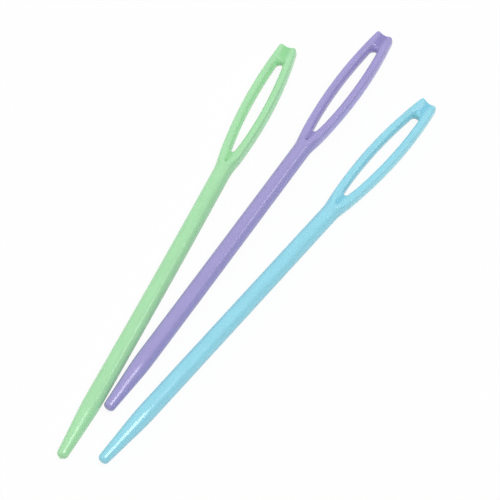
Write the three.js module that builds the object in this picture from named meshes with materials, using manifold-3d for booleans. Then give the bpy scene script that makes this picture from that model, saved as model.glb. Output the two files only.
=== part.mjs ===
// Three blunt plastic yarn needles of one mould, lying loose on a table. Millimetres, +Z up.
// Each needle is one moulding: a round shaft with a tapered blunt tip, and a bowed open eye that
// ends in a short grooved and notched head. The set's origin is the bottom centre of its box.
import * as THREE from 'three';
import { mergeVertices } from 'three/addons/utils/BufferGeometryUtils.js';
import Module from 'manifold-3d';

// Needle and shaft
const needleLength = 69.85;
const shaftRadius = 1.25;

// Tip: a long soft taper to a small flat end with a rounded edge
const taperLength = 11.6;
const taperPower = 1.65;
const tipRadius = 0.73;
const tipEdgeRadius = 0.48;

// Eye: an opening of four arcs, pointed towards the tip and round towards the head
const headLength = 2.84;
const eyeLength = 16.46;
const eyeWidestReach = 8.7;
const eyeWidth = 1.74;
const eyeTipEndRadius = 0.3;
const eyeHeadEndRadius = 0.48;
const eyeEdgeRadius = 0.55;
const eyeEndEdgeRadius = 0.3;
const eyeEdgeEaseLength = 1.8;
const eyeDraft = 0.06;

// Blade: the widened part of the moulding round the eye, an oval cut flat on both faces
const bladeWidth = 4.52;
const bladeEndWidth = 2.66;
const bladeThickness = 2.1;
const bladeOvalHeight = 3.8;
const flareLength = 2.9;
const flareBlend = 0.08;
const headEdgeRadius = 0.4;

// Head: a thread groove in each face and a notch between two ears
const grooveWidth = 1.4;
const grooveDepth = 0.2;
const notchWidth = 2;
const notchDepth = 0.14;

// Crotch: a small tapered groove in each face where the two arms part
const crotchLength = 2;
const crotchRadius = 0.34;

// Gate at the tip, where the runner was cut off
const gateRadius = 0.2;

// How each needle lies: the place of its tip's end, its turn away from +Y and its roll about its
// own axis, in degrees, and how far it is bowed sideways
const degree = Math.PI / 180;
const greenLie = { tipX: -24.092, tipY: -31.182, turnAngle: 25.05, rollAngle: -2, bow: 0.3 };
const purpleLie = { tipX: -18.553, tipY: -24.66, turnAngle: 32.7, rollAngle: 0, bow: 0.06 };
const blueLie = { tipX: -18.906, tipY: -31.783, turnAngle: 38.87, rollAngle: 6.5, bow: 0 };

// How each gate was cut: the height of a stub left proud, or the length taken off the tip
const greenGate = { stub: 0.16, trim: 0 };
const purpleGate = { stub: 0, trim: 0.35 };
const blueGate = { stub: 0.06, trim: 0 };

// Surface finish of the moulded plastic
const plasticRoughness = 0.28;
const plasticMetalness = 0;

// How finely curves are divided
const sectionSides = 28;
const arcSteps = 4;
const taperSteps = 9;
const shaftSteps = 8;
const flareSteps = 6;
const bladeSteps = 20;
const eyeSideSteps = 9;
const eyeEndSteps = 6;
const cutterSides = 20;

// Every cutter runs past the surface that it cuts by this much
const overrun = 0.5;

// Places along the needle, from the tip's end
const eyeHeadEndAt = needleLength - headLength;
const eyeTipEndAt = eyeHeadEndAt - eyeLength;
const widestAt = eyeTipEndAt + eyeWidestReach;
const flareAt = eyeTipEndAt - flareLength;

const eyeHalf = eyeWidth / 2;
const bladeHalf = bladeWidth / 2;
const bladeEndHalf = bladeEndWidth / 2;
const bladeOvalHalf = bladeOvalHeight / 2;
const bladeThickHalf = bladeThickness / 2;

// Radius of an arc that leaves its crown square to the axis and drops by `drop` over `reach`
function crownArcRadius(reach, drop) {
  return (reach * reach + drop * drop) / (drop + drop);
}

// How far an arc of that radius has dropped at `distance` from its crown
function arcDrop(radius, distance) {
  return radius - Math.sqrt(Math.max(0, radius * radius - distance * distance));
}

// The larger of two sizes, with a soft fillet where they are within `blend` of each other
function softMax(first, second, blend) {
  const near = Math.max(0, blend - Math.abs(first - second));
  return Math.max(first, second) + (near * near) / (4 * blend);
}

const bladeTipArc = crownArcRadius(widestAt - flareAt, bladeHalf - shaftRadius);
const bladeHeadArc = crownArcRadius(needleLength - widestAt, bladeHalf - bladeEndHalf);

// Radius of the shaft with its taper towards the tip
function shaftRadiusAt(along) {
  const left = Math.max(0, 1 - along / taperLength);
  return shaftRadius - (shaftRadius - tipRadius) * left ** taperPower;
}

// How much the rounded edge at an end takes off, at `inside` from that end
function edgeLoss(inside, radius) {
  return arcDrop(radius, Math.max(0, radius - inside));
}

// Half the width, half the oval's height and half the thickness of the moulding's outside
function sectionAt(along) {
  const arc = along < widestAt ? bladeTipArc : bladeHeadArc;
  const blade = bladeHalf - arcDrop(arc, along - widestAt);
  const shaft = shaftRadiusAt(along);
  const width = along < flareAt - flareLength ? shaft : softMax(shaft, blade, flareBlend);
  const passed = Math.min(1, Math.max(0, (along - flareAt) / flareLength));
  const ease = (1 - Math.cos(passed * 180 * degree)) / 2;
  const oval = shaft + (bladeOvalHalf - shaftRadius) * ease;
  const thick = shaft + (bladeThickHalf - shaftRadius) * ease;
  const loss = edgeLoss(along, tipEdgeRadius) + edgeLoss(needleLength - along, headEdgeRadius);
  return { width: width - loss, oval: oval - loss, thick: thick - loss };
}

// Places of the sections: closer together round the two rounded ends
function stationPlaces() {
  const places = [];
  for (let i = 0; i < arcSteps; i += 1) {
    places.push(tipEdgeRadius * (1 - Math.cos((i / arcSteps) * 90 * degree)));
  }
  const stretches = [
    [tipEdgeRadius, taperLength, taperSteps],
    [taperLength, flareAt, shaftSteps],
    [flareAt, eyeTipEndAt, flareSteps],
    [eyeTipEndAt, needleLength - headEdgeRadius, bladeSteps],
  ];
  for (const [from, to, steps] of stretches) {
    for (let i = 0; i < steps; i += 1) {
      places.push(from + ((to - from) * i) / steps);
    }
  }
  for (let i = 0; i <= arcSteps; i += 1) {
    places.push(needleLength - headEdgeRadius * (1 - Math.sin((i / arcSteps) * 90 * degree)));
  }
  return places;
}

// A closed skin over a stack of equal rings of points, with a flat cap at each end
function loft(rings) {
  const count = rings[0].length;
  const points = rings.flat();
  const index = [];
  for (let r = 0; r + 1 < rings.length; r += 1) {
    for (let i = 0; i < count; i += 1) {
      const a = r * count + i;
      const b = r * count + ((i + 1) % count);
      index.push(a, b, b + count, a, b + count, a + count);
    }
  }
  const last = (rings.length - 1) * count;
  for (let i = 1; i + 1 < count; i += 1) {
    index.push(0, i + 1, i);
    index.push(last, last + i, last + i + 1);
  }
  const geometry = new THREE.BufferGeometry().setFromPoints(points);
  geometry.setIndex(index);
  return geometry;
}

// Outside of the moulding, before the eye and the grooves are cut
function blankGeometry() {
  const rings = stationPlaces().map((along) => {
    const { width, oval, thick } = sectionAt(along);
    const ring = [];
    for (let i = 0; i < sectionSides; i += 1) {
      const angle = -(i / sectionSides) * 360 * degree;
      const height = Math.max(-thick, Math.min(thick, oval * Math.sin(angle)));
      ring.push(new THREE.Vector3(width * Math.cos(angle), along, height));
    }
    return ring;
  });
  return loft(rings);
}

// Radius of the rolled edge at `inside` from the nearer end of the eye: tighter round the ends
function rolledEdgeAt(inside) {
  const part = Math.min(1, inside / eyeEdgeEaseLength);
  const ease = (1 - Math.cos(part * 180 * degree)) / 2;
  return eyeEndEdgeRadius + (eyeEdgeRadius - eyeEndEdgeRadius) * ease;
}

// Outline of the eye, a side arc and an end arc for each quarter, with the way outwards
function eyeOutline() {
  const ends = [
    { reach: widestAt - eyeTipEndAt, radius: eyeTipEndRadius, way: -1 },
    { reach: eyeHeadEndAt - widestAt, radius: eyeHeadEndRadius, way: 1 },
  ];
  const half = ends.map(({ reach, radius, way }) => {
    const centre = reach - radius;
    const side = (eyeHalf ** 2 + centre ** 2 - radius ** 2) / (2 * (eyeHalf - radius));
    const meet = Math.asin(centre / (side - radius));
    const points = [];
    const addPoint = (x, away, angle) => {
      const edge = rolledEdgeAt(reach - away);
      const outX = Math.cos(angle);
      const outY = way * Math.sin(angle);
      points.push({ x, y: widestAt + way * away, outX, outY, edge });
    };
    for (let i = 0; i < eyeSideSteps; i += 1) {
      const angle = (meet * i) / eyeSideSteps;
      addPoint(side * Math.cos(angle) - (side - eyeHalf), side * Math.sin(angle), angle);
    }
    for (let i = 0; i < eyeEndSteps; i += 1) {
      const angle = meet + ((90 * degree - meet) * i) / eyeEndSteps;
      addPoint(radius * Math.cos(angle), centre + radius * Math.sin(angle), angle);
    }
    points.push({ x: 0, y: widestAt + way * reach, outX: 0, outY: way, edge: eyeEndEdgeRadius });
    return points;
  });
  const right = [...half[0].reverse(), ...half[1].slice(1)];
  const left = right.slice(1, -1).map((point) => ({ ...point, x: -point.x, outX: -point.outX }));
  return [...right, ...left.reverse()];
}

// The eye's core: drafted both ways from the parting plane, and flared by the rolled edges
function eyeCutter() {
  const outline = eyeOutline();
  const ring = (growAt, heightAt) =>
    outline.map(({ x, y, outX, outY, edge }) => {
      const grow = growAt(edge);
      return new THREE.Vector3(x + grow * outX, y + grow * outY, heightAt(edge));
    });
  const parting = ring(() => 0, () => 0);
  const upper = [];
  for (let i = 0; i <= arcSteps; i += 1) {
    const angle = (i / arcSteps) * 90 * degree;
    const growAt = (edge) => eyeDraft + edge * (1 - Math.cos(angle));
    upper.push(ring(growAt, (edge) => bladeThickHalf - edge * (1 - Math.sin(angle))));
  }
  upper.push(ring((edge) => eyeDraft + edge, () => shaftRadius + overrun));
  const lower = upper.map((points) => points.map(({ x, y, z }) => new THREE.Vector3(x, y, -z)));
  return loft([...lower.reverse(), parting, ...upper]);
}

// Radius of a rod that leaves a groove of that width and depth in a flat face
function rodRadius(width, depth) {
  return crownArcRadius(width / 2, depth);
}

// The thread groove in one face, from inside the eye out through the head's end
function headGroove(face) {
  const radius = rodRadius(grooveWidth, grooveDepth);
  const length = headLength + eyeHeadEndRadius + overrun;
  const rod = new THREE.CylinderGeometry(radius, radius, length, cutterSides);
  const middle = needleLength + overrun - length / 2;
  return rod.translate(0, middle, face * (bladeThickHalf + radius - grooveDepth));
}

// The tapered groove in one face, from nothing on the shaft to the eye's pointed end
function crotchGroove(face) {
  const length = crotchLength + eyeTipEndRadius;
  const cone = new THREE.ConeGeometry(crotchRadius, length, cutterSides);
  cone.rotateX(180 * degree);
  return cone.translate(0, eyeTipEndAt - crotchLength + length / 2, face * bladeThickHalf);
}

// The notch between the ears, cut straight through the head's end
function headNotch() {
  const radius = rodRadius(notchWidth, notchDepth);
  const rod = new THREE.CylinderGeometry(radius, radius, 2 * (shaftRadius + overrun), cutterSides);
  rod.rotateX(90 * degree);
  return rod.translate(0, needleLength + radius - notchDepth, 0);
}

const wasm = await Module();
wasm.setup();

// A closed geometry as a solid that can be cut and joined
function solidOf(geometry) {
  const bare = geometry.clone();
  bare.deleteAttribute('normal');
  bare.deleteAttribute('uv');
  const merged = mergeVertices(bare);
  const vertProperties = new Float32Array(merged.attributes.position.array);
  const triVerts = new Uint32Array(merged.index.array);
  return new wasm.Manifold(new wasm.Mesh({ numProp: 3, vertProperties, triVerts }));
}

function geometryOf(solid) {
  const mesh = solid.getMesh();
  const geometry = new THREE.BufferGeometry();
  geometry.setAttribute('position', new THREE.BufferAttribute(mesh.vertProperties, 3));
  geometry.setIndex(new THREE.BufferAttribute(mesh.triVerts, 1));
  return geometry;
}

// One moulding, straight, with its tip's end at the origin and its parting plane level
function needleSolid({ stub, trim }) {
  let solid = solidOf(blankGeometry());
  for (const cutter of [eyeCutter(), headNotch()]) {
    solid = solid.subtract(solidOf(cutter));
  }
  for (const face of [-1, 1]) {
    solid = solid.subtract(solidOf(headGroove(face)));
    solid = solid.subtract(solidOf(crotchGroove(face)));
  }
  if (stub > 0) {
    const length = stub + tipEdgeRadius;
    const gate = new THREE.CylinderGeometry(gateRadius, gateRadius, length, cutterSides);
    solid = solid.add(solidOf(gate.translate(0, length / 2 - stub, 0)));
  }
  if (trim > 0) {
    const radius = shaftRadius + overrun;
    const slice = new THREE.CylinderGeometry(radius, radius, trim + overrun, cutterSides);
    solid = solid.subtract(solidOf(slice.translate(0, (trim - overrun) / 2, 0)));
  }
  return solid;
}

// Bend a straight needle sideways into an even arc between its two ends
function bend(geometry, bow) {
  const position = geometry.attributes.position;
  for (let i = 0; i < position.count; i += 1) {
    const share = position.getY(i) / needleLength;
    position.setX(i, position.getX(i) + 4 * bow * share * (1 - share));
  }
  return geometry;
}

// A needle of that colour in its place, turned, rolled and let down on the table
function needle(name, color, lie, gate) {
  const material = new THREE.MeshStandardMaterial({
    color,
    roughness: plasticRoughness,
    metalness: plasticMetalness,
  });
  const mesh = new THREE.Mesh(bend(geometryOf(needleSolid(gate)), lie.bow), material);
  mesh.name = name;
  mesh.rotation.set(0, lie.rollAngle * degree, -lie.turnAngle * degree, 'ZYX');
  mesh.position.set(lie.tipX, lie.tipY, 0);
  mesh.position.z = -new THREE.Box3().setFromObject(mesh, true).min.z;
  return mesh;
}

const needles = new THREE.Group();
needles.add(needle('green_needle', 0xaee6b0, greenLie, greenGate));
needles.add(needle('purple_needle', 0xa69bd4, purpleLie, purpleGate));
needles.add(needle('blue_needle', 0x9bddec, blueLie, blueGate));

// Put the bottom centre of the set's box on the origin
const middle = new THREE.Box3().setFromObject(needles, true).getCenter(new THREE.Vector3());
needles.position.set(-middle.x, -middle.y, 0);

const set = new THREE.Group();
set.add(needles);

export default set;
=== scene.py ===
"""Three moulded plastic yarn needles in pastel green, purple and blue, lying loose on a white table."""

import math

import bmesh
import bpy
from bpy.props import (
    FloatProperty,
    FloatVectorProperty,
    PointerProperty,
)
from mathutils import Matrix, Vector


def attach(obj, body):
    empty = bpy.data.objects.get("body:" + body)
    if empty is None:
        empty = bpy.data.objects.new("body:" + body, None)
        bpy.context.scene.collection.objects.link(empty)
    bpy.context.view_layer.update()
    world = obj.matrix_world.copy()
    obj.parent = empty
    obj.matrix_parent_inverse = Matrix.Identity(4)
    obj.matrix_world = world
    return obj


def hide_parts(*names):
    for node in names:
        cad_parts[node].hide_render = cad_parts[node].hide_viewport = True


bl_info = {
    "name": "Moulded Yarn Needles",
    "version": (1, 0, 0),
    "blender": (4, 5, 0),
    "location": "3D View > Sidebar > Needles",
    "description": "Makes blunt plastic yarn needles with a long bowed eye",
    "category": "Mesh",
}

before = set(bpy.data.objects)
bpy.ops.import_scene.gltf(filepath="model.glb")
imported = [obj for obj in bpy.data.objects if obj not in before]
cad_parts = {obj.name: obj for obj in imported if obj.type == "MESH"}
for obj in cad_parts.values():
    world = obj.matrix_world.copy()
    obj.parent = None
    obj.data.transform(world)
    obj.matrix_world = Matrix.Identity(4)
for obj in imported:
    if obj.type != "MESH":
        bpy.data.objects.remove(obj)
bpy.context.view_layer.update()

MM = 0.001

# Each needle: its packed node, the body that it moves with and its plastic
NEEDLES = {
    "green": ("green_needle", "green", "green_plastic"),
    "purple": ("purple_needle", "purple", "purple_plastic"),
    "blue": ("blue_needle", "blue", "blue_plastic"),
}


def linear(shade):
    """The linear red, green and blue of an sRGB hex colour."""
    shares = [int(shade[i : i + 2], 16) / 255 for i in (1, 3, 5)]
    return tuple(s / 12.92 if s <= 0.04045 else ((s + 0.055) / 1.055) ** 2.4 for s in shares)


def length(name, description, millimetres):
    """A length property whose default is given in millimetres."""
    return FloatProperty(
        name=name,
        description=description,
        default=millimetres * MM,
        unit="LENGTH",
        subtype="DISTANCE",
        precision=5,
    )


def colour(name, description, value):
    """A colour property whose default is given as sRGB hex."""
    return FloatVectorProperty(
        name=name,
        description=description,
        default=linear(value),
        subtype="COLOR",
        min=0,
        max=1,
    )


class NeedleSizes(bpy.types.PropertyGroup):
    """Sizes of the one mould that all the needles come from"""

    needle_length: length("Needle Length", "From the tip's end to the ears of the head", 69.85)
    shaft_radius: length("Shaft Radius", "Radius of the round shaft", 1.25)
    taper_length: length("Taper Length", "Length of the cone from the tip to the round shaft", 8)
    taper_blend: length("Taper Blend", "Softness of the bend from the cone to the shaft", 0.12)
    tip_radius: length("Tip Radius", "Radius at the blunt tip before its edge is rounded", 0.73)
    tip_edge: length("Tip Edge", "Radius of the tip's rounded edge", 0.48)
    head_length: length("Head Length", "From the end of the eye to the end of the head", 2.84)
    eye_length: length("Eye Length", "Length of the opening", 16.46)
    eye_reach: length("Eye Reach", "From the eye's pointed end to its widest place", 8.7)
    eye_width: length("Eye Width", "Greatest width of the opening", 1.74)
    eye_tip_radius: length("Pointed End Radius", "Radius of the eye's end towards the tip", 0.3)
    eye_head_radius: length("Round End Radius", "Radius of the eye's end towards the head", 0.48)
    eye_edge: length("Eye Edge", "Radius of the rolled edge along the eye's sides", 0.55)
    eye_tip_edge: length("Pointed End Edge", "Radius of the rolled edge at the pointed end", 0.3)
    eye_head_edge: length("Round End Edge", "Radius of the rolled edge at the round end", 0.6)
    eye_edge_ease: length("Eye Edge Ease", "Length over which the rolled edge tightens", 1.8)
    eye_draft: length("Eye Draft", "How far each half of the eye's wall leans back", 0.06)
    blade_width: length("Blade Width", "Greatest width across the eye", 4.52)
    blade_end_width: length("Head Width", "Width at the end of the head", 2.66)
    blade_thickness: length("Blade Thickness", "Between the two flat faces of the eye", 2.1)
    blade_oval: length("Blade Oval", "Height of the oval that the flat faces cut", 3.8)
    flare_length: length("Flare Length", "From the round shaft to the pointed end of the eye", 2.9)
    flare_blend: length("Flare Blend", "Softness of the joint of shaft and flare", 0.08)
    head_edge: length("Head Edge", "Radius of the rounded edge of the head's end", 0.4)
    groove_width: length("Groove Width", "Width of the thread groove in each face of the head", 1.4)
    groove_depth: length("Groove Depth", "Depth of the thread groove", 0.2)
    notch_width: length("Notch Width", "Width of the notch between the ears", 2)
    notch_depth: length("Notch Depth", "Depth of the notch between the ears", 0.14)
    crotch_length: length("Crotch Length", "Length of the valley below the eye's pointed end", 2.0)
    crotch_radius: length("Crotch Radius", "Half the width of that valley at the eye", 0.75)
    crotch_depth: length("Crotch Depth", "Depth of that valley", 0.14)
    pit_radius: length("Pit Radius", "Radius of the small pit where the valley starts", 0.36)
    pit_depth: length("Pit Depth", "Depth of that pit", 0.16)
    gate_radius: length("Gate Radius", "Radius of the mark where the runner was cut off", 0.2)


def lie(tip, turn, roll, bow, stub, trim):
    """Properties that say how one needle lies and how its gate was cut, in millimetres and degrees."""
    return {
        "tip": FloatVectorProperty(
            name="Tip",
            description="Place of the tip's end over the table",
            default=(tip[0] * MM, tip[1] * MM),
            size=2,
            unit="LENGTH",
        ),
        "turn": FloatProperty(
            name="Turn",
            description="Turn to the right of straight ahead",
            default=math.radians(turn),
            subtype="ANGLE",
        ),
        "roll": FloatProperty(
            name="Roll",
            description="Roll about the needle's own length",
            default=math.radians(roll),
            subtype="ANGLE",
        ),
        "bow": length("Bow", "How far the needle bends sideways at its middle", bow),
        "stub": length("Gate Stub", "Height of the stub left on the tip", stub),
        "trim": length("Gate Trim", "Length cut off the tip", trim),
    }


def lie_group(name, note, annotations):
    """A PropertyGroup class for the lie of one needle."""
    return type(name, (bpy.types.PropertyGroup,), {"__doc__": note, "__annotations__": annotations})


GreenLie = lie_group(
    "GreenLie",
    "Lie of the green needle",
    lie(tip=(-24.6988, -32.5017), turn=25.05, roll=-2, bow=0.3, stub=0.16, trim=0),
)
PurpleLie = lie_group(
    "PurpleLie",
    "Lie of the purple needle",
    lie(tip=(-19.1598, -25.9797), turn=32.7, roll=0, bow=0.06, stub=0, trim=0.35),
)
BlueLie = lie_group(
    "BlueLie",
    "Lie of the blue needle",
    lie(tip=(-19.5128, -33.1027), turn=38.87, roll=6.5, bow=0, stub=0.06, trim=0),
)


class PlasticColours(bpy.types.PropertyGroup):
    """Colours of the dyed plastic"""

    green: colour("Green", "Pastel green plastic", "#ade6b2")
    purple: colour("Purple", "Pastel purple plastic", "#a79fd5")
    blue: colour("Blue", "Pastel blue plastic", "#99ddee")


class StageSettings(bpy.types.PropertyGroup):
    """Camera and light"""

    elevation: FloatProperty(
        name="Elevation",
        description="Height of the camera over the table, as an angle",
        default=math.radians(60),
        subtype="ANGLE",
    )
    distance: length("Distance", "From the camera to the place that it looks at", 304)
    aim: FloatVectorProperty(
        name="Aim",
        description="Place on the table that the camera looks at",
        default=(-0.6068 * MM, -1.3197 * MM, 0),
        unit="LENGTH",
        subtype="TRANSLATION",
    )
    lens: FloatProperty(
        name="Lens",
        description="Focal length of the camera, in millimetres on a 36 mm sensor",
        default=162.4,
        unit="CAMERA",
    )
    floor_colour: colour("Table", "White of the table", "#f4f4f4")


def add_node(tree, kind, inputs=None, **settings):
    """Adds a node with its settings. An input is a value, a socket or a node whose first output it takes."""
    node = tree.nodes.new(kind)
    for name, value in settings.items():
        setattr(node, name, value)
    for name, value in (inputs or {}).items():
        source = value.outputs[0] if isinstance(value, bpy.types.Node) else value
        if isinstance(source, bpy.types.NodeSocket):
            tree.links.new(source, node.inputs[name])
        else:
            node.inputs[name].default_value = source
    return node


def arc_radius(reach, drop):
    """Radius of an arc that leaves its crown square to the axis and drops by that much."""
    return (reach * reach + drop * drop) / (2 * drop)


def arc_drop(radius, distance):
    """How far an arc has dropped at that distance from its crown."""
    return radius - math.sqrt(max(0.0, radius * radius - distance * distance))


def soft_max(first, second, blend):
    """The larger of two sizes, rounded off where they are close."""
    near = max(0.0, blend - abs(first - second))
    return max(first, second) + near * near / (4 * max(blend, 1e-9))


def soft_step(share):
    """Eases from 0 to 1 and stays level outside."""
    share = min(1.0, max(0.0, share))
    return share * share * (3 - 2 * share)


def fade(size, distance, reach):
    """A size that dies out over that reach, fast at first."""
    return size * max(0.0, 1 - distance / reach) ** 2


def walked(points):
    """Distance along a chain of points from its start to each of them."""
    far = [0.0]
    for (x0, y0), (x1, y1) in zip(points, points[1:]):
        far.append(far[-1] + math.hypot(x1 - x0, y1 - y0))
    return far


class Moulding:
    """The eye and head of the needle, straight, with the tip's end at the origin and +Y along it."""

    # Rounding where the oval meets the flat faces
    LAND_SOFTNESS = 0.06 * MM
    # Rows fan out round the eye's pointed end and back round its head end, over these lengths
    FAN_REACH = 0.6 * MM
    FAN_LENGTH = 2.6 * MM
    FAN_BACK = 0.35 * MM
    FAN_BACK_LENGTH = 1.5 * MM
    # How much sooner than the last column a fanned row has reached its place
    FAN_HASTE = 1.4
    # Length over which the notch dies out
    NOTCH_LENGTH = 1.7 * MM
    # How far before the flare the shaft's tube ends, as a share of the flare's length
    TUBE_END_SHARE = 0.2
    # Columns across each face, and rows before the eye, after it and round the head's edge
    COLUMNS = 12
    SHAFT_ROWS = 7
    HEAD_ROWS = 5
    EDGE_ROWS = 4
    # Steps along each side and end of the eye, round its rolled edge and down the head's end
    SIDE_STEPS = 11
    END_STEPS = 5
    WALL_ROUND = 4
    CAP_STEPS = 6
    # Fine steps for each column when a section is divided evenly
    FINE_STEPS = 20

    def __init__(self, sizes):
        self.s = sizes
        self.head_end = sizes.needle_length
        self.eye_head = self.head_end - sizes.head_length
        self.eye_tip = self.eye_head - sizes.eye_length
        self.widest = self.eye_tip + sizes.eye_reach
        self.flare = self.eye_tip - sizes.flare_length
        self.start = self.flare - self.TUBE_END_SHARE * sizes.flare_length
        self.tip_arc = arc_radius(self.widest - self.flare, sizes.blade_width / 2 - sizes.shaft_radius)
        self.head_arc = arc_radius(
            self.head_end - self.widest, (sizes.blade_width - sizes.blade_end_width) / 2
        )

    def section(self, along):
        """Half width, half oval and half thickness of the outside at that place."""
        s = self.s
        arc = self.tip_arc if along < self.widest else self.head_arc
        blade = s.blade_width / 2 - arc_drop(arc, along - self.widest)
        passed = min(1.0, max(0.0, (along - self.flare) / s.flare_length))
        ease = (1 - math.cos(math.pi * passed)) / 2
        inside = max(0.0, s.head_edge - max(0.0, self.head_end - along))
        loss = arc_drop(s.head_edge, inside)
        width = soft_max(s.shaft_radius, blade, s.flare_blend) - loss
        oval = s.shaft_radius + (s.blade_oval / 2 - s.shaft_radius) * ease - loss
        thick = s.shaft_radius + (s.blade_thickness / 2 - s.shaft_radius) * ease - loss
        return width, oval, thick, self.LAND_SOFTNESS * ease

    def height(self, across, along):
        """Height of the upper face there."""
        width, oval, thick, blend = self.section(along)
        round_height = oval * math.sqrt(max(0.0, 1 - (across / width) ** 2))
        return -soft_max(-thick, -round_height, blend)

    def eye(self):
        """Right half of the eye's outline: across, along, the way outwards and the edge's radius."""
        s = self.s
        half = s.eye_width / 2
        outline = []
        for reach, radius, end_edge, way in (
            (self.widest - self.eye_tip, s.eye_tip_radius, s.eye_tip_edge, -1),
            (self.eye_head - self.widest, s.eye_head_radius, s.eye_head_edge, 1),
        ):
            # The side is a wide arc that runs into the end's small one without a corner
            centre = reach - radius
            side = (half**2 + centre**2 - radius**2) / (2 * (half - radius))
            meet = math.asin(centre / (side - radius))
            path = []
            for i in range(self.SIDE_STEPS):
                angle = meet * i / self.SIDE_STEPS
                path.append((side * math.cos(angle) - (side - half), side * math.sin(angle), angle))
            for i in range(self.END_STEPS + 1):
                angle = meet + (math.pi / 2 - meet) * i / self.END_STEPS
                path.append((radius * math.cos(angle), centre + radius * math.sin(angle), angle))
            path[-1] = (0.0, reach, math.pi / 2)
            points = []
            for across, away, angle in path:
                out = 0.0 if across == 0 else math.cos(angle)
                part = min(1.0, (reach - away) / s.eye_edge_ease)
                edge = end_edge + (s.eye_edge - end_edge) * (1 - math.cos(math.pi * part)) / 2
                points.append((across, self.widest + way * away, out, way * math.sin(angle), edge))
            outline = points[::-1] if way < 0 else outline + points[1:]
        return outline

    def rows(self):
        """Each row across the face: inner end, places along there and at the side, and if it is whole."""
        s = self.s
        hole = [(across, along) for across, along, _ in self.wall()[0]]
        low, high = hole[0][1], hole[-1][1]
        rows = []
        for i in range(self.SHAFT_ROWS):
            along = self.start + (low - self.start) * i / self.SHAFT_ROWS
            rows.append((0.0, along, along - fade(self.FAN_REACH, low - along, self.FAN_LENGTH), True))
        far = walked(hole)
        for i, (across, along) in enumerate(hole):
            fan = fade(self.FAN_REACH, far[i], self.FAN_LENGTH)
            back = fade(self.FAN_BACK, far[-1] - far[i], self.FAN_BACK_LENGTH)
            rows.append((across, along, along - fan + back, i in (0, len(hole) - 1)))
        end = self.head_end - s.head_edge
        for i in range(1, self.HEAD_ROWS + 1):
            along = high + (end - high) * i / self.HEAD_ROWS
            back = fade(self.FAN_BACK, along - high, self.FAN_BACK_LENGTH)
            rows.append((0.0, along, along + back * (end - along) / (end - high), True))
        for i in range(1, self.EDGE_ROWS + 1):
            angle = math.pi / 2 * i / self.EDGE_ROWS
            along = self.head_end - s.head_edge * (1 - math.sin(angle))
            rows.append((0.0, along, along, True))
        return rows

    def spread(self, inner, along):
        """Shares of the way from the inner end to the side that divide the section evenly."""
        width, oval, thick, blend = self.section(along)
        fine = self.FINE_STEPS * self.COLUMNS
        first = math.acos(inner / width)
        path = []
        for i in range(fine + 1):
            angle = first * (1 - i / fine)
            across = width * math.cos(angle)
            path.append((across, -soft_max(-thick, -oval * math.sin(angle), blend)))
        far = walked(path)
        shares = []
        k = 0
        for column in range(self.COLUMNS + 1):
            goal = far[-1] * column / self.COLUMNS
            while k < fine - 1 and far[k + 1] < goal:
                k += 1
            part = (goal - far[k]) / (far[k + 1] - far[k])
            across = path[k][0] + (path[k + 1][0] - path[k][0]) * part
            shares.append((across - inner) / (width - inner))
        shares[-1] = 1.0
        return shares

    def wall(self):
        """Rings of the eye's wall from the upper face down: across, along and share of the height."""
        s = self.s
        half = s.blade_thickness / 2
        outline = self.eye()
        rings = []
        for i in range(self.WALL_ROUND + 1):
            angle = math.pi / 2 * (1 - i / self.WALL_ROUND)
            ring = []
            for across, along, out, on, edge in outline:
                grow = s.eye_draft + edge * (1 - math.cos(angle))
                share = 1 - edge * (1 - math.sin(angle)) / half
                ring.append((across + grow * out, along + grow * on, share))
            rings.append(ring)
        # Below the rolled edge the wall leans in to the parting line: halfway there, then there
        for part in (0.5, 0.0):
            grow = part * s.eye_draft
            rings.append(
                [(x + grow * out, y + grow * on, part * (1 - edge / half)) for x, y, out, on, edge in outline]
            )
        return rings + [[(x, y, -share) for x, y, share in ring] for ring in rings[-2::-1]]

    def notched(self, across, along, height):
        """A point moved back where the notch scoops out the end of the head."""
        s = self.s
        rod = arc_radius(s.notch_width / 2, s.notch_depth)
        drop = max(0.0, s.notch_depth - arc_drop(rod, min(abs(across), rod)))
        fall = soft_step(1 - (self.head_end - along) / self.NOTCH_LENGTH)
        return across, along - drop * fall, height

    def cage(self):
        """The coarse cage of quads, open where it meets the shaft."""
        last = self.COLUMNS
        rows = self.rows()
        whole = [row[3] for row in rows]
        first_hole = whole.index(False) - 1
        mesh = bmesh.new()
        made = {}

        def key(row, side, face, column):
            face = 0 if column == last else face
            side = 0 if column == 0 and whole[row] else side
            return row, side, face, column

        def corner(name, across, along, height):
            if name not in made:
                made[name] = mesh.verts.new(self.notched(across, along, height))

        for r, (inner, near, far, _) in enumerate(rows):
            shares = self.spread(inner, far)
            for column, share in enumerate(shares):
                along = near + (far - near) * soft_step(self.FAN_HASTE * column / last)
                width = self.section(along)[0]
                across = inner + (width - inner) * share
                height = self.height(across, along) if column < last else 0.0
                for side in (1, -1):
                    for face in (1, -1):
                        corner(key(r, side, face, column), side * across, along, face * height)

        wall = self.wall()
        count = len(wall[0])
        low = len(wall) - 1

        def wall_key(i, side, level):
            if level in (0, low):
                return key(first_hole + i, side, 1 if level == 0 else -1, 0)
            return "wall", i, 0 if i in (0, count - 1) else side, level

        for level, ring in enumerate(wall):
            for i, (across, along, share) in enumerate(ring):
                top = self.height(wall[0][i][0], wall[0][i][1])
                for side in (1, -1):
                    corner(wall_key(i, side, level), side * across, along, share * top)

        end = len(rows) - 1

        def cap_key(side, column, step):
            if step in (0, self.CAP_STEPS) or column == last:
                return key(end, side, 1 if step == 0 else -1, column)
            return "cap", 0 if column == 0 else side, column, step

        for column in range(last):
            for side in (1, -1):
                across, along, height = made[key(end, side, 1, column)].co
                for step in range(1, self.CAP_STEPS):
                    level = height * (1 - 2 * step / self.CAP_STEPS)
                    name = cap_key(side, column, step)
                    if name not in made:
                        made[name] = mesh.verts.new((across, along, level))

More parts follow.
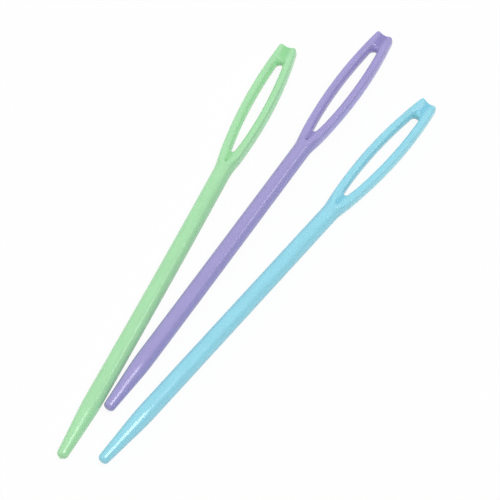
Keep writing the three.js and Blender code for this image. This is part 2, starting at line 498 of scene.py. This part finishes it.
        def face_of(names, outward):
            corners = []
            for name in names if outward else names[::-1]:
                if made[name] not in corners:
                    corners.append(made[name])
            mesh.faces.new(corners)

        for side in (1, -1):
            for r in range(end):
                for column in range(last):
                    for face in (1, -1):
                        face_of(
                            [
                                key(r, side, face, column),
                                key(r, side, face, column + 1),
                                key(r + 1, side, face, column + 1),
                                key(r + 1, side, face, column),
                            ],
                            side * face > 0,
                        )
            for i in range(count - 1):
                for level in range(low):
                    face_of(
                        [
                            wall_key(i, side, level),
                            wall_key(i + 1, side, level),
                            wall_key(i + 1, side, level + 1),
                            wall_key(i, side, level + 1),
                        ],
                        side > 0,
                    )
            for column in range(last):
                for step in range(self.CAP_STEPS):
                    face_of(
                        [
                            cap_key(side, column, step),
                            cap_key(side, column + 1, step),
                            cap_key(side, column + 1, step + 1),
                            cap_key(side, column, step + 1),
                        ],
                        side > 0,
                    )
        return mesh


# Inputs of the node tree by kind. One that a property holds has the property's name
MOULDING_INPUTS = {
    "NodeSocketGeometry": ("Geometry",),
    "NodeSocketFloat": (
        "Shaft End",
        "Shaft Radius",
        "Taper Length",
        "Taper Blend",
        "Tip Radius",
        "Tip Edge",
        "Gate Radius",
        "Gate Stub",
        "Gate Trim",
        "Half Thickness",
        "Groove Width",
        "Groove Depth",
        "Eye Head End",
        "Eye Tip End",
        "Crotch Length",
        "Crotch Radius",
        "Crotch Depth",
        "Pit Radius",
        "Pit Depth",
        "Needle Length",
        "Bow",
        "Roll",
        "Left Turn",
    ),
    "NodeSocketVector": ("Tip Place",),
    "NodeSocketInt": ("Shaft Sides", "Shaft Steps", "Cap Rings", "Smoothing"),
    "NodeSocketMaterial": ("Plastic",),
}

# How much the shaft's rings crowd towards the tip
RING_CROWDING = 2.2
# Points of the skin that are closer than this are one
SAME_POINT = 0.002 * MM
# Ends of the groove's slope, as shares of its width from its middle
GROOVE_FLOOR_SHARE = 0.1
GROOVE_RIM_SHARE = 0.6
# The valley's width at its start, as a share of that at the eye, and the share of its length
# at which it is fully deep
VALLEY_START_SHARE = 0.7
VALLEY_FULL_SHARE = 0.25
# Place of the pit, as a share of the valley's length
PIT_PLACE_SHARE = 0.08
# Ends of the slope round the gate mark, as shares of its radius
GATE_FLAT_SHARE = 0.8
GATE_RIM_SHARE = 1.15
# Shares of the half thickness between which the face begins, and between which the side ends
FACE_SHARES = (0.6, 0.85)
SIDE_SHARES = (0.5, 0.8)
# The painted shade is stronger in the pit than in the grooves
PIT_SHADE = 1.3
# The painted light on the thin sides comes in over this many lengths of the valley, up to the eye
PALE_LEAD = 2.0


def rules(tree, known, rows):
    """Adds nodes for rows of name, operation and operands, and returns what is known with their results.

    An operand is a number, or the name of something known or of an earlier row. EASE is a smooth step
    of a value between two places, from a first result to a last.
    """
    found = dict(known)
    for name, operation, *operands in rows:
        values = [found[o] if isinstance(o, str) else o for o in operands]
        if operation == "EASE":
            inputs = dict(zip(("Value", "From Min", "From Max", "To Min", "To Max"), values))
            node = add_node(tree, "ShaderNodeMapRange", inputs, interpolation_type="SMOOTHSTEP", label=name)
        else:
            node = add_node(tree, "ShaderNodeMath", dict(enumerate(values)), operation=operation, label=name)
        found[name] = node.outputs[0]
    return found


def moulding_tree():
    """Node tree that adds the tapered shaft, smooths, cuts the grooves and lays the needle down."""
    tree = bpy.data.node_groups.new("Yarn Needle Moulding", "GeometryNodeTree")
    for kind, names in MOULDING_INPUTS.items():
        for name in names:
            tree.interface.new_socket(name, in_out="INPUT", socket_type=kind)
    tree.interface.new_socket("Geometry", in_out="OUTPUT", socket_type="NodeSocketGeometry")
    given = {socket.name: socket for socket in add_node(tree, "NodeGroupInput").outputs}

    # Shaft: rings crowd towards the tip, where the taper ends in a flat disc with a rounded edge
    index = add_node(tree, "GeometryNodeInputIndex").outputs[0]
    shaft = rules(
        tree,
        {**given, "index": index},
        [
            ("past the disc", "SUBTRACT", "index", "Cap Rings"),
            ("ring", "MAXIMUM", "past the disc", 0.0),
            ("last ring", "SUBTRACT", "Shaft Steps", 1.0),
            ("ring share", "DIVIDE", "ring", "last ring"),
            ("crowded share", "POWER", "ring share", RING_CROWDING),
            ("reach", "SUBTRACT", "Shaft End", "Gate Trim"),
            ("inside", "MULTIPLY", "crowded share", "reach"),
            ("along", "ADD", "inside", "Gate Trim"),
            ("taper share", "DIVIDE", "along", "Taper Length"),
            ("fall", "SUBTRACT", "Shaft Radius", "Tip Radius"),
            ("cone radius", "MULTIPLY_ADD", "fall", "taper share", "Tip Radius"),
            ("plain radius", "SMOOTH_MIN", "cone radius", "Shaft Radius", "Taper Blend"),
            ("edge left", "SUBTRACT", "Tip Edge", "inside"),
            ("edge rest", "MAXIMUM", "edge left", 0.0),
            ("edge rest squared", "POWER", "edge rest", 2.0),
            ("edge squared", "POWER", "Tip Edge", 2.0),
            ("edge height squared", "SUBTRACT", "edge squared", "edge rest squared"),
            ("edge height", "SQRT", "edge height squared"),
            ("edge loss", "SUBTRACT", "Tip Edge", "edge height"),
            ("round radius", "SUBTRACT", "plain radius", "edge loss"),
            ("disc share", "DIVIDE", "index", "Cap Rings"),
            ("disc part", "MINIMUM", "disc share", 1.0),
            ("radius", "MULTIPLY", "round radius", "disc part"),
            ("rings", "ADD", "Shaft Steps", "Cap Rings"),
        ],
    )
    line = add_node(tree, "GeometryNodeCurvePrimitiveLine", {"End": (0.0, 1.0, 0.0)})
    axis = add_node(tree, "GeometryNodeResampleCurve", {"Curve": line, "Count": shaft["rings"]})
    place = add_node(tree, "ShaderNodeCombineXYZ", {"Y": shaft["along"]})
    axis = add_node(tree, "GeometryNodeSetPosition", {"Geometry": axis, "Position": place})
    ring = add_node(
        tree, "GeometryNodeCurvePrimitiveCircle", {"Resolution": given["Shaft Sides"], "Radius": 1.0}
    )
    tube = add_node(
        tree, "GeometryNodeCurveToMesh", {"Curve": axis, "Profile Curve": ring, "Scale": shaft["radius"]}
    )

    # One skin: the tube's last ring and the eye's first ring are the same points
    joined = add_node(tree, "GeometryNodeJoinGeometry")
    tree.links.new(tube.outputs[0], joined.inputs[0])
    tree.links.new(given["Geometry"], joined.inputs[0])
    skin = add_node(tree, "GeometryNodeMergeByDistance", {"Geometry": joined, "Distance": SAME_POINT})
    skin = add_node(tree, "GeometryNodeSubdivisionSurface", {"Mesh": skin, "Level": given["Smoothing"]})

    # Grooves, valleys and pits: both faces sink by the same share of their height
    here = add_node(tree, "GeometryNodeInputPosition")
    apart = add_node(tree, "ShaderNodeSeparateXYZ", {0: here}).outputs
    rule = rules(
        tree,
        {**given, "x": apart["X"], "y": apart["Y"], "z": apart["Z"]},
        [
            ("across", "ABSOLUTE", "x"),
            ("groove floor", "MULTIPLY", "Groove Width", GROOVE_FLOOR_SHARE),
            ("groove rim", "MULTIPLY", "Groove Width", GROOVE_RIM_SHARE),
            ("groove across", "EASE", "across", "groove floor", "groove rim", 1.0, 0.0),
            ("groove start", "SUBTRACT", "Eye Head End", "Groove Width"),
            ("groove along", "EASE", "y", "groove start", "Eye Head End", 0.0, 1.0),
            ("groove", "MULTIPLY", "groove across", "groove along"),
            ("groove sink", "MULTIPLY", "groove", "Groove Depth"),
            ("valley start", "SUBTRACT", "Eye Tip End", "Crotch Length"),
            ("valley passed", "SUBTRACT", "y", "valley start"),
            ("valley share", "DIVIDE", "valley passed", "Crotch Length"),
            ("valley low", "MAXIMUM", "valley share", 0.0),
            ("valley part", "MINIMUM", "valley low", 1.0),
            ("valley widening", "MULTIPLY_ADD", "valley part", 1 - VALLEY_START_SHARE, VALLEY_START_SHARE),
            ("valley half", "MULTIPLY", "valley widening", "Crotch Radius"),
            ("valley out", "DIVIDE", "across", "valley half"),
            ("valley across", "EASE", "valley out", 0.0, 1.0, 1.0, 0.0),
            ("valley full", "MULTIPLY_ADD", "Crotch Length", VALLEY_FULL_SHARE, "valley start"),
            ("valley rise", "EASE", "y", "valley start", "valley full", 0.0, 1.0),
            ("valley end", "ADD", "Eye Tip End", "Crotch Length"),
            ("valley fall", "EASE", "y", "Eye Tip End", "valley end", 1.0, 0.0),
            ("valley faded", "MULTIPLY", "valley across", "valley fall"),
            ("valley", "MULTIPLY", "valley faded", "valley rise"),
            ("valley sink", "MULTIPLY", "valley", "Crotch Depth"),
            ("pit place", "MULTIPLY_ADD", "Crotch Length", PIT_PLACE_SHARE, "valley start"),
            ("pit off", "SUBTRACT", "y", "pit place"),
            ("pit off squared", "POWER", "pit off", 2.0),
            ("across squared", "POWER", "across", 2.0),
            ("pit squares", "ADD", "pit off squared", "across squared"),
            ("pit distance", "SQRT", "pit squares"),
            ("pit", "EASE", "pit distance", 0.0, "Pit Radius", 1.0, 0.0),
            ("pit sink", "MULTIPLY", "pit", "Pit Depth"),
            ("two sinks", "ADD", "groove sink", "valley sink"),
            ("all sinks", "ADD", "two sinks", "pit sink"),
            ("sink share", "DIVIDE", "all sinks", "Half Thickness"),
            ("kept share", "SUBTRACT", 1.0, "sink share"),
            ("new z", "MULTIPLY", "z", "kept share"),
            ("z squared", "POWER", "z", 2.0),
            ("reach squared", "ADD", "z squared", "across squared"),
            ("from axis", "SQRT", "reach squared"),
            ("gate flat", "MULTIPLY", "Gate Radius", GATE_FLAT_SHARE),
            ("gate rim", "MULTIPLY", "Gate Radius", GATE_RIM_SHARE),
            ("gate round", "EASE", "from axis", "gate flat", "gate rim", 1.0, 0.0),
            ("gate back", "ADD", "Gate Trim", "Gate Radius"),
            ("gate end", "EASE", "y", "Gate Trim", "gate back", 1.0, 0.0),
            ("gate", "MULTIPLY", "gate round", "gate end"),
            ("gate rise", "MULTIPLY", "gate", "Gate Stub"),
            ("new y", "SUBTRACT", "y", "gate rise"),
        ],
    )
    carved = add_node(tree, "ShaderNodeCombineXYZ", {"X": rule["x"], "Y": rule["new y"], "Z": rule["new z"]})
    skin = add_node(tree, "GeometryNodeSetPosition", {"Geometry": skin, "Position": carved})

    # The needle's own coordinates stay with it, for its material
    skin = add_node(
        tree,
        "GeometryNodeStoreNamedAttribute",
        {"Geometry": skin, "Name": "moulding", "Value": here},
        data_type="FLOAT_VECTOR",
        domain="POINT",
    )

    # So do two masks for colour painted in place of light: how deep in a hollow of the faces a point is, for
    # painted shade, and how far on the blade's thin sides, for painted light
    shades = rules(
        tree,
        rule,
        [
            ("height", "ABSOLUTE", "z"),
            ("height share", "DIVIDE", "height", "Half Thickness"),
            ("on face", "EASE", "height share", *FACE_SHARES, 0.0, 1.0),
            ("groove or valley", "MAXIMUM", "groove", "valley"),
            # Painted shade: the mask for the darker colour in the grooves, valleys and pit
            ("sunk", "MULTIPLY_ADD", "pit", PIT_SHADE, "groove or valley"),
            ("hollow", "MULTIPLY", "sunk", "on face"),
            # Painted light: the blade's thin sides, below the faces, are marked to be painted paler
            ("below face", "EASE", "height share", *SIDE_SHARES, 1.0, 0.0),
            ("blade start", "MULTIPLY_ADD", "Crotch Length", -PALE_LEAD, "Eye Tip End"),
            ("on blade", "EASE", "y", "blade start", "Eye Tip End", 0.0, 1.0),
            ("thin", "MULTIPLY", "below face", "on blade"),
        ],
    )
    for shade in ("hollow", "thin"):
        skin = add_node(
            tree,
            "GeometryNodeStoreNamedAttribute",
            {"Geometry": skin, "Name": shade, "Value": shades[shade]},
            data_type="FLOAT",
            domain="POINT",
        )

    # Lie: bowed sideways, rolled, turned and let down. Share times rest is a quarter at the middle
    bent = rules(
        tree,
        rule,
        [
            ("share", "DIVIDE", "y", "Needle Length"),
            ("rest", "SUBTRACT", 1.0, "share"),
            ("arch", "MULTIPLY", "share", "rest"),
            ("bend", "MULTIPLY", "arch", "Bow"),
            ("new x", "MULTIPLY_ADD", "bend", 4.0, "x"),
        ],
    )
    bowed = add_node(tree, "ShaderNodeCombineXYZ", {"X": bent["new x"], "Y": apart["Y"], "Z": apart["Z"]})
    rolled = add_node(
        tree, "ShaderNodeVectorRotate", {"Vector": bowed, "Angle": given["Roll"]}, rotation_type="Y_AXIS"
    )
    turned = add_node(
        tree,
        "ShaderNodeVectorRotate",
        {"Vector": rolled, "Angle": given["Left Turn"]},
        rotation_type="Z_AXIS",
    )
    placed = add_node(tree, "ShaderNodeVectorMath", {0: turned, 1: given["Tip Place"]}, operation="ADD")
    skin = add_node(tree, "GeometryNodeSetPosition", {"Geometry": skin, "Position": placed})
    spread = add_node(tree, "GeometryNodeAttributeStatistic", {"Geometry": skin, "Attribute": apart["Z"]})
    lift = add_node(tree, "ShaderNodeMath", {0: spread.outputs["Min"], 1: -1.0}, operation="MULTIPLY")
    rise = add_node(tree, "ShaderNodeCombineXYZ", {"Z": lift})
    skin = add_node(tree, "GeometryNodeSetPosition", {"Geometry": skin, "Offset": rise})
    skin = add_node(tree, "GeometryNodeSetShadeSmooth", {"Geometry": skin})
    skin = add_node(tree, "GeometryNodeRealizeInstances", {"Geometry": skin})
    skin = add_node(tree, "GeometryNodeSetMaterial", {"Geometry": skin, "Material": given["Plastic"]})
    add_node(tree, "NodeGroupOutput", {"Geometry": skin})
    return tree


def shown(group):
    """The group's values by the names that a user sees."""
    return {field.name: getattr(group, field.identifier) for field in group.bl_rna.properties}


def needle_piece(name, sizes, pose, tree, material):
    """One whole needle as a plain mesh in its place."""
    moulding = Moulding(sizes)
    cage = moulding.cage()
    mesh = bpy.data.meshes.new(name)
    cage.to_mesh(mesh)
    cage.free()
    piece = bpy.data.objects.new(name, mesh)
    bpy.context.scene.collection.objects.link(piece)
    modifier = piece.modifiers.new("Moulding", "NODES")
    modifier.node_group = tree
    values = {
        **shown(sizes),
        **shown(pose),
        "Shaft End": moulding.start,
        "Half Thickness": sizes.blade_thickness / 2,
        "Eye Head End": moulding.eye_head,
        "Eye Tip End": moulding.eye_tip,
        "Left Turn": -pose.turn,
        "Tip Place": (*pose.tip, 0.0),
        "Shaft Sides": 4 * Moulding.COLUMNS,
        "Shaft Steps": 60,
        "Cap Rings": 3,
        "Smoothing": 2,
        "Plastic": material,
    }
    for socket in tree.interface.items_tree:
        if socket.item_type == "SOCKET" and socket.name in values:
            modifier[socket.identifier] = values[socket.name]
    bpy.context.view_layer.update()
    evaluated = piece.evaluated_get(bpy.context.evaluated_depsgraph_get())
    plain = bpy.data.meshes.new_from_object(evaluated)
    piece.modifiers.remove(modifier)
    piece.data = plain
    plain.name = name
    # One slot only: the joined tube and cage leave an empty one
    plain.materials.clear()
    plain.materials.append(material)
    bpy.data.meshes.remove(mesh)
    return piece


# Size of the clouds of dye across, along and down the flow of the melt, in millimetres
DYE_CLOUD = (1.2, 4, 1.2)
# Range that nearly all of the noise lies in, and what it becomes in the dye and in the roughness
NOISE_RANGE = (0.3, 0.7)
DYE_RANGE = (0.97, 1.02)
POLISH_RANGE = (0.14, 0.17)
# Share of the light that a hollow throws back on itself, which sets how dark the painted shade in the hollows
# is
SHADE_BOUNCE_SHARE = 0.4
# How much paler the painted light makes the thin sides, up to the palest that a dye gets
THIN_GLOW_FACTOR = 1.15
PALEST = 0.95
# Sink marks: their length and depth
SINK_LENGTH = 1.5 * MM
SINK_DEPTH = 0.0008 * MM
# Parting line: its half width at the top and at the foot, and its height
PARTING_TOP = 0.01 * MM
PARTING_FOOT = 0.04 * MM
PARTING_HEIGHT = 0.01 * MM


def plastic(name, base):
    """Polypropylene dyed in the mass and moulded in a polished steel tool.

    The eye sees an even pastel with a soft glow, a sharp but slightly wavy gloss, and a hair-fine
    parting line along both sides where the halves of the mould met.
    """
    material = bpy.data.materials.new(name)
    material.use_nodes = True
    tree = material.node_tree
    tree.nodes.clear()
    own = add_node(tree, "ShaderNodeAttribute", attribute_name="moulding").outputs["Vector"]
    shader = add_node(
        tree,
        "ShaderNodeBsdfPrincipled",
        {
            "IOR": 1.49,
            "Subsurface Weight": 0.1,
            "Subsurface Radius": (1.0, 1.0, 1.0),
            "Subsurface Scale": 0.6 * MM,
        },
    )
    # Clouds of dye, stretched along the flow of the melt
    stretch = tuple(1 / size for size in DYE_CLOUD)
    flow = add_node(tree, "ShaderNodeMapping", {"Vector": own, "Scale": stretch})
    grown = add_node(tree, "ShaderNodeVectorMath", {0: flow, 3: 1 / MM}, operation="SCALE")
    clouds = add_node(tree, "ShaderNodeTexNoise", {"Vector": grown, "Scale": 1.0, "Detail": 3.0})
    clouded = {}
    for use, (low, high) in (("dye", DYE_RANGE), ("polish", POLISH_RANGE)):
        ends = {"From Min": NOISE_RANGE[0], "From Max": NOISE_RANGE[1], "To Min": low, "To Max": high}
        clouded[use] = add_node(tree, "ShaderNodeMapRange", {"Value": clouds.outputs["Fac"], **ends})
    # Painted shade: the colour is deepened in the hollows, most of all in the pit, as light thrown to and fro
    # there would deepen it
    hollow_shade_colour = [share * (1 - SHADE_BOUNCE_SHARE) / (1 - SHADE_BOUNCE_SHARE * share) for share in base]
    hollow = add_node(tree, "ShaderNodeAttribute", attribute_name="hollow").outputs["Fac"]
    tone = add_node(
        tree,
        "ShaderNodeMix",
        {"Factor": hollow, "A": (*base, 1.0), "B": (*hollow_shade_colour, 1.0)},
        data_type="RGBA",
        clamp_factor=False,
    )
    # Painted light: the thin sides of the blade are painted paler than the shaft, for the light that passes
    # through them
    glow_colour = [min(PALEST, share * THIN_GLOW_FACTOR) for share in base]
    thin = add_node(tree, "ShaderNodeAttribute", attribute_name="thin").outputs["Fac"]
    tone = add_node(
        tree,
        "ShaderNodeMix",
        {"Factor": thin, "A": tone.outputs["Result"], "B": (*glow_colour, 1.0)},
        data_type="RGBA",
    )
    tint = add_node(
        tree, "ShaderNodeVectorMath", {0: tone.outputs["Result"], 3: clouded["dye"]}, operation="SCALE"
    )
    tree.links.new(tint.outputs[0], shader.inputs["Base Color"])
    # Gloss: the tool's polish varies from place to place
    tree.links.new(clouded["polish"].outputs[0], shader.inputs["Roughness"])
    # Sink marks, which bend the highlights a little
    sink_at = add_node(tree, "ShaderNodeVectorMath", {0: own, 3: 1 / SINK_LENGTH}, operation="SCALE")
    sinks = add_node(tree, "ShaderNodeTexNoise", {"Vector": sink_at, "Scale": 1.0, "Detail": 1.0})
    waves = add_node(
        tree, "ShaderNodeBump", {"Strength": 1.0, "Distance": SINK_DEPTH, "Height": sinks.outputs["Fac"]}
    )
    # Parting line
    height = add_node(tree, "ShaderNodeSeparateXYZ", {0: own}).outputs["Z"]
    level = add_node(tree, "ShaderNodeMath", {0: height}, operation="ABSOLUTE")
    ridge = add_node(
        tree,
        "ShaderNodeMapRange",
        {"Value": level, "From Min": PARTING_TOP, "From Max": PARTING_FOOT, "To Min": 1.0, "To Max": 0.0},
        interpolation_type="SMOOTHSTEP",
    )
    lines = add_node(
        tree,
        "ShaderNodeBump",
        {"Strength": 1.0, "Distance": PARTING_HEIGHT, "Height": ridge, "Normal": waves},
    )
    tree.links.new(lines.outputs[0], shader.inputs["Normal"])
    add_node(tree, "ShaderNodeOutputMaterial", {"Surface": shader})
    return material


class YARN_OT_needles(bpy.types.Operator):
    """Makes the three needles, each in its own plastic, in their places"""

    bl_idname = "yarn.needles"
    bl_label = "Make Needles"

    def execute(self, context):
        scene = context.scene
        tree = moulding_tree()
        for name, (node, body, slot) in NEEDLES.items():
            base = getattr(scene.plastic_colours, name)
            material = plastic(f"{name} polypropylene, polish moulded", base)
            pose = getattr(scene, f"{name}_lie")
            piece = needle_piece(f"{name}_yarn_needle", scene.needle_sizes, pose, tree, material)
            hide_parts(node)
            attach(piece, body)
        bpy.data.node_groups.remove(tree)
        return {"FINISHED"}


class YARN_OT_stage(bpy.types.Operator):
    """Sets up the white table, the soft light and the camera"""

    bl_idname = "yarn.stage"
    bl_label = "Make Stage"

    # Half the side of the table top, in metres
    TABLE_HALF = 1.5
    # Share of plain white in what the camera sees of the table. The rest holds the shadow
    WHITE_SHARE = 0.93
    # The surround is bright up to the first share of the turn to its dark side, and dark from the second
    DARK_SIDE = (0.87, -0.5, 0.0)
    DARK_SHARES = (0.5, 0.9)
    BRIGHT = 0.58
    DARK = 0.1
    # Name, place, the way that the long side points, length and width in metres, and power in watts
    LAMPS = (
        ("soft panel", (-0.75, 0.2, 0.62), (0, 0, 1), (0.7, 0.7), 1.0),
        ("long lamp", (0.308, -0.076, 0.945), DARK_SIDE, (0.76, 0.26), 4.4),
        ("small lamp", (0.687, 0.095, 0.72), DARK_SIDE, (0.24, 0.09), 0.27),
    )

    def execute(self, context):
        scene = context.scene
        stage = scene.stage_settings
        self.table(scene, stage)
        self.lights(scene)
        self.camera(scene, stage)
        scene.view_settings.view_transform = "Standard"
        return {"FINISHED"}

    def table(self, scene, stage):
        """A white table top that the camera sees as plain white, with the needles' soft shadow."""
        half = self.TABLE_HALF
        mesh = bpy.data.meshes.new("table_top")
        corners = [(-half, -half, 0), (half, -half, 0), (half, half, 0), (-half, half, 0)]
        mesh.from_pydata(corners, [], [(0, 1, 2, 3)])
        table = bpy.data.objects.new("table_top", mesh)
        scene.collection.objects.link(table)
        material = bpy.data.materials.new("white paper, matt")
        material.use_nodes = True
        tree = material.node_tree
        tree.nodes.clear()
        paper = add_node(tree, "ShaderNodeBsdfDiffuse", {"Color": (*stage.floor_colour, 1.0)})
        glow = add_node(tree, "ShaderNodeEmission", {"Color": (1.0, 1.0, 1.0, 1.0), "Strength": 1.0})
        path = add_node(tree, "ShaderNodeLightPath").outputs
        seen = add_node(
            tree, "ShaderNodeMath", {0: path["Is Camera Ray"], 1: path["Is Glossy Ray"]}, operation="MAXIMUM"
        )
        seen = add_node(
            tree, "ShaderNodeMath", {0: seen, 1: path["Is Transmission Ray"]}, operation="MAXIMUM"
        )
        share = add_node(tree, "ShaderNodeMath", {0: seen, 1: self.WHITE_SHARE}, operation="MULTIPLY")
        surface = add_node(tree, "ShaderNodeMixShader", {0: share, 1: paper, 2: glow})
        add_node(tree, "ShaderNodeOutputMaterial", {"Surface": surface})
        mesh.materials.append(material)

    def lights(self, scene):
        """A white surround that darkens at the right, and the lamps, each turned to the needles."""
        world = bpy.data.worlds.new("white surround")
        scene.world = world
        world.use_nodes = True
        tree = world.node_tree
        tree.nodes.clear()
        way = add_node(tree, "ShaderNodeTexCoord").outputs["Generated"]
        turn = add_node(tree, "ShaderNodeVectorMath", {0: way, 1: self.DARK_SIDE}, operation="DOT_PRODUCT")
        ends = {"From Min": self.DARK_SHARES[0], "From Max": self.DARK_SHARES[1]}
        share = add_node(
            tree,
            "ShaderNodeMapRange",
            {"Value": turn.outputs["Value"], **ends, "To Min": self.BRIGHT, "To Max": self.DARK},
            interpolation_type="SMOOTHSTEP",
        )
        sky = add_node(tree, "ShaderNodeBackground", {"Color": (1.0, 1.0, 1.0, 1.0), "Strength": share})
        add_node(tree, "ShaderNodeOutputWorld", {"Surface": sky})
        for name, place, along, size, power in self.LAMPS:
            light = bpy.data.lights.new(name, "AREA")
            light.shape = "ELLIPSE"
            light.size, light.size_y = size
            light.energy = power
            lamp = bpy.data.objects.new(name, light)
            scene.collection.objects.link(lamp)
            back = Vector(place).normalized()
            side = (Vector(along) - Vector(along).project(back)).normalized()
            turned = Matrix((side, back.cross(side), back)).transposed()
            lamp.matrix_world = Matrix.Translation(place) @ turned.to_4x4()

    def camera(self, scene, stage):
        """The camera at the photograph's height, looking straight ahead and down."""
        data = bpy.data.cameras.new("camera")
        data.lens = stage.lens
        data.sensor_width = 36
        data.clip_start = 0.01
        camera = bpy.data.objects.new("camera", data)
        scene.collection.objects.link(camera)
        back = math.cos(stage.elevation) * stage.distance
        up = math.sin(stage.elevation) * stage.distance
        camera.location = (stage.aim[0], stage.aim[1] - back, stage.aim[2] + up)
        camera.rotation_euler = (math.pi / 2 - stage.elevation, 0, 0)
        scene.camera = camera


class YARN_PT_panel(bpy.types.Panel):
    """Lists the steps that make the needles and their stage"""

    bl_idname = "YARN_PT_panel"
    bl_label = "Yarn Needles"
    bl_space_type = "VIEW_3D"
    bl_region_type = "UI"
    bl_category = "Needles"

    def draw(self, context):
        layout = self.layout
        for operator in OPERATORS:
            layout.operator(operator.bl_idname)
        for group in GROUPS:
            box = layout.box()
            settings = getattr(context.scene, group)
            for name in settings.bl_rna.properties.keys():
                if name not in ("rna_type", "name"):
                    box.prop(settings, name)


OPERATORS = (YARN_OT_needles, YARN_OT_stage)

GROUPS = {
    "needle_sizes": NeedleSizes,
    "green_lie": GreenLie,
    "purple_lie": PurpleLie,
    "blue_lie": BlueLie,
    "plastic_colours": PlasticColours,
    "stage_settings": StageSettings,
}

CLASSES = (*GROUPS.values(), *OPERATORS, YARN_PT_panel)


def register():
    """Registers the classes and gives each scene its settings."""
    for cls in CLASSES:
        bpy.utils.register_class(cls)
    for name, group in GROUPS.items():
        setattr(bpy.types.Scene, name, PointerProperty(type=group))


def unregister():
    """Takes the settings and the classes away again."""
    for name in GROUPS:
        delattr(bpy.types.Scene, name)
    for cls in reversed(CLASSES):
        bpy.utils.unregister_class(cls)


def main():
    """Makes everything in order and writes the box of the packed model and of the scene's own pieces."""
    register()
    bpy.ops.yarn.needles()
    bpy.ops.yarn.stage()


if __name__ == "__main__":
    main()
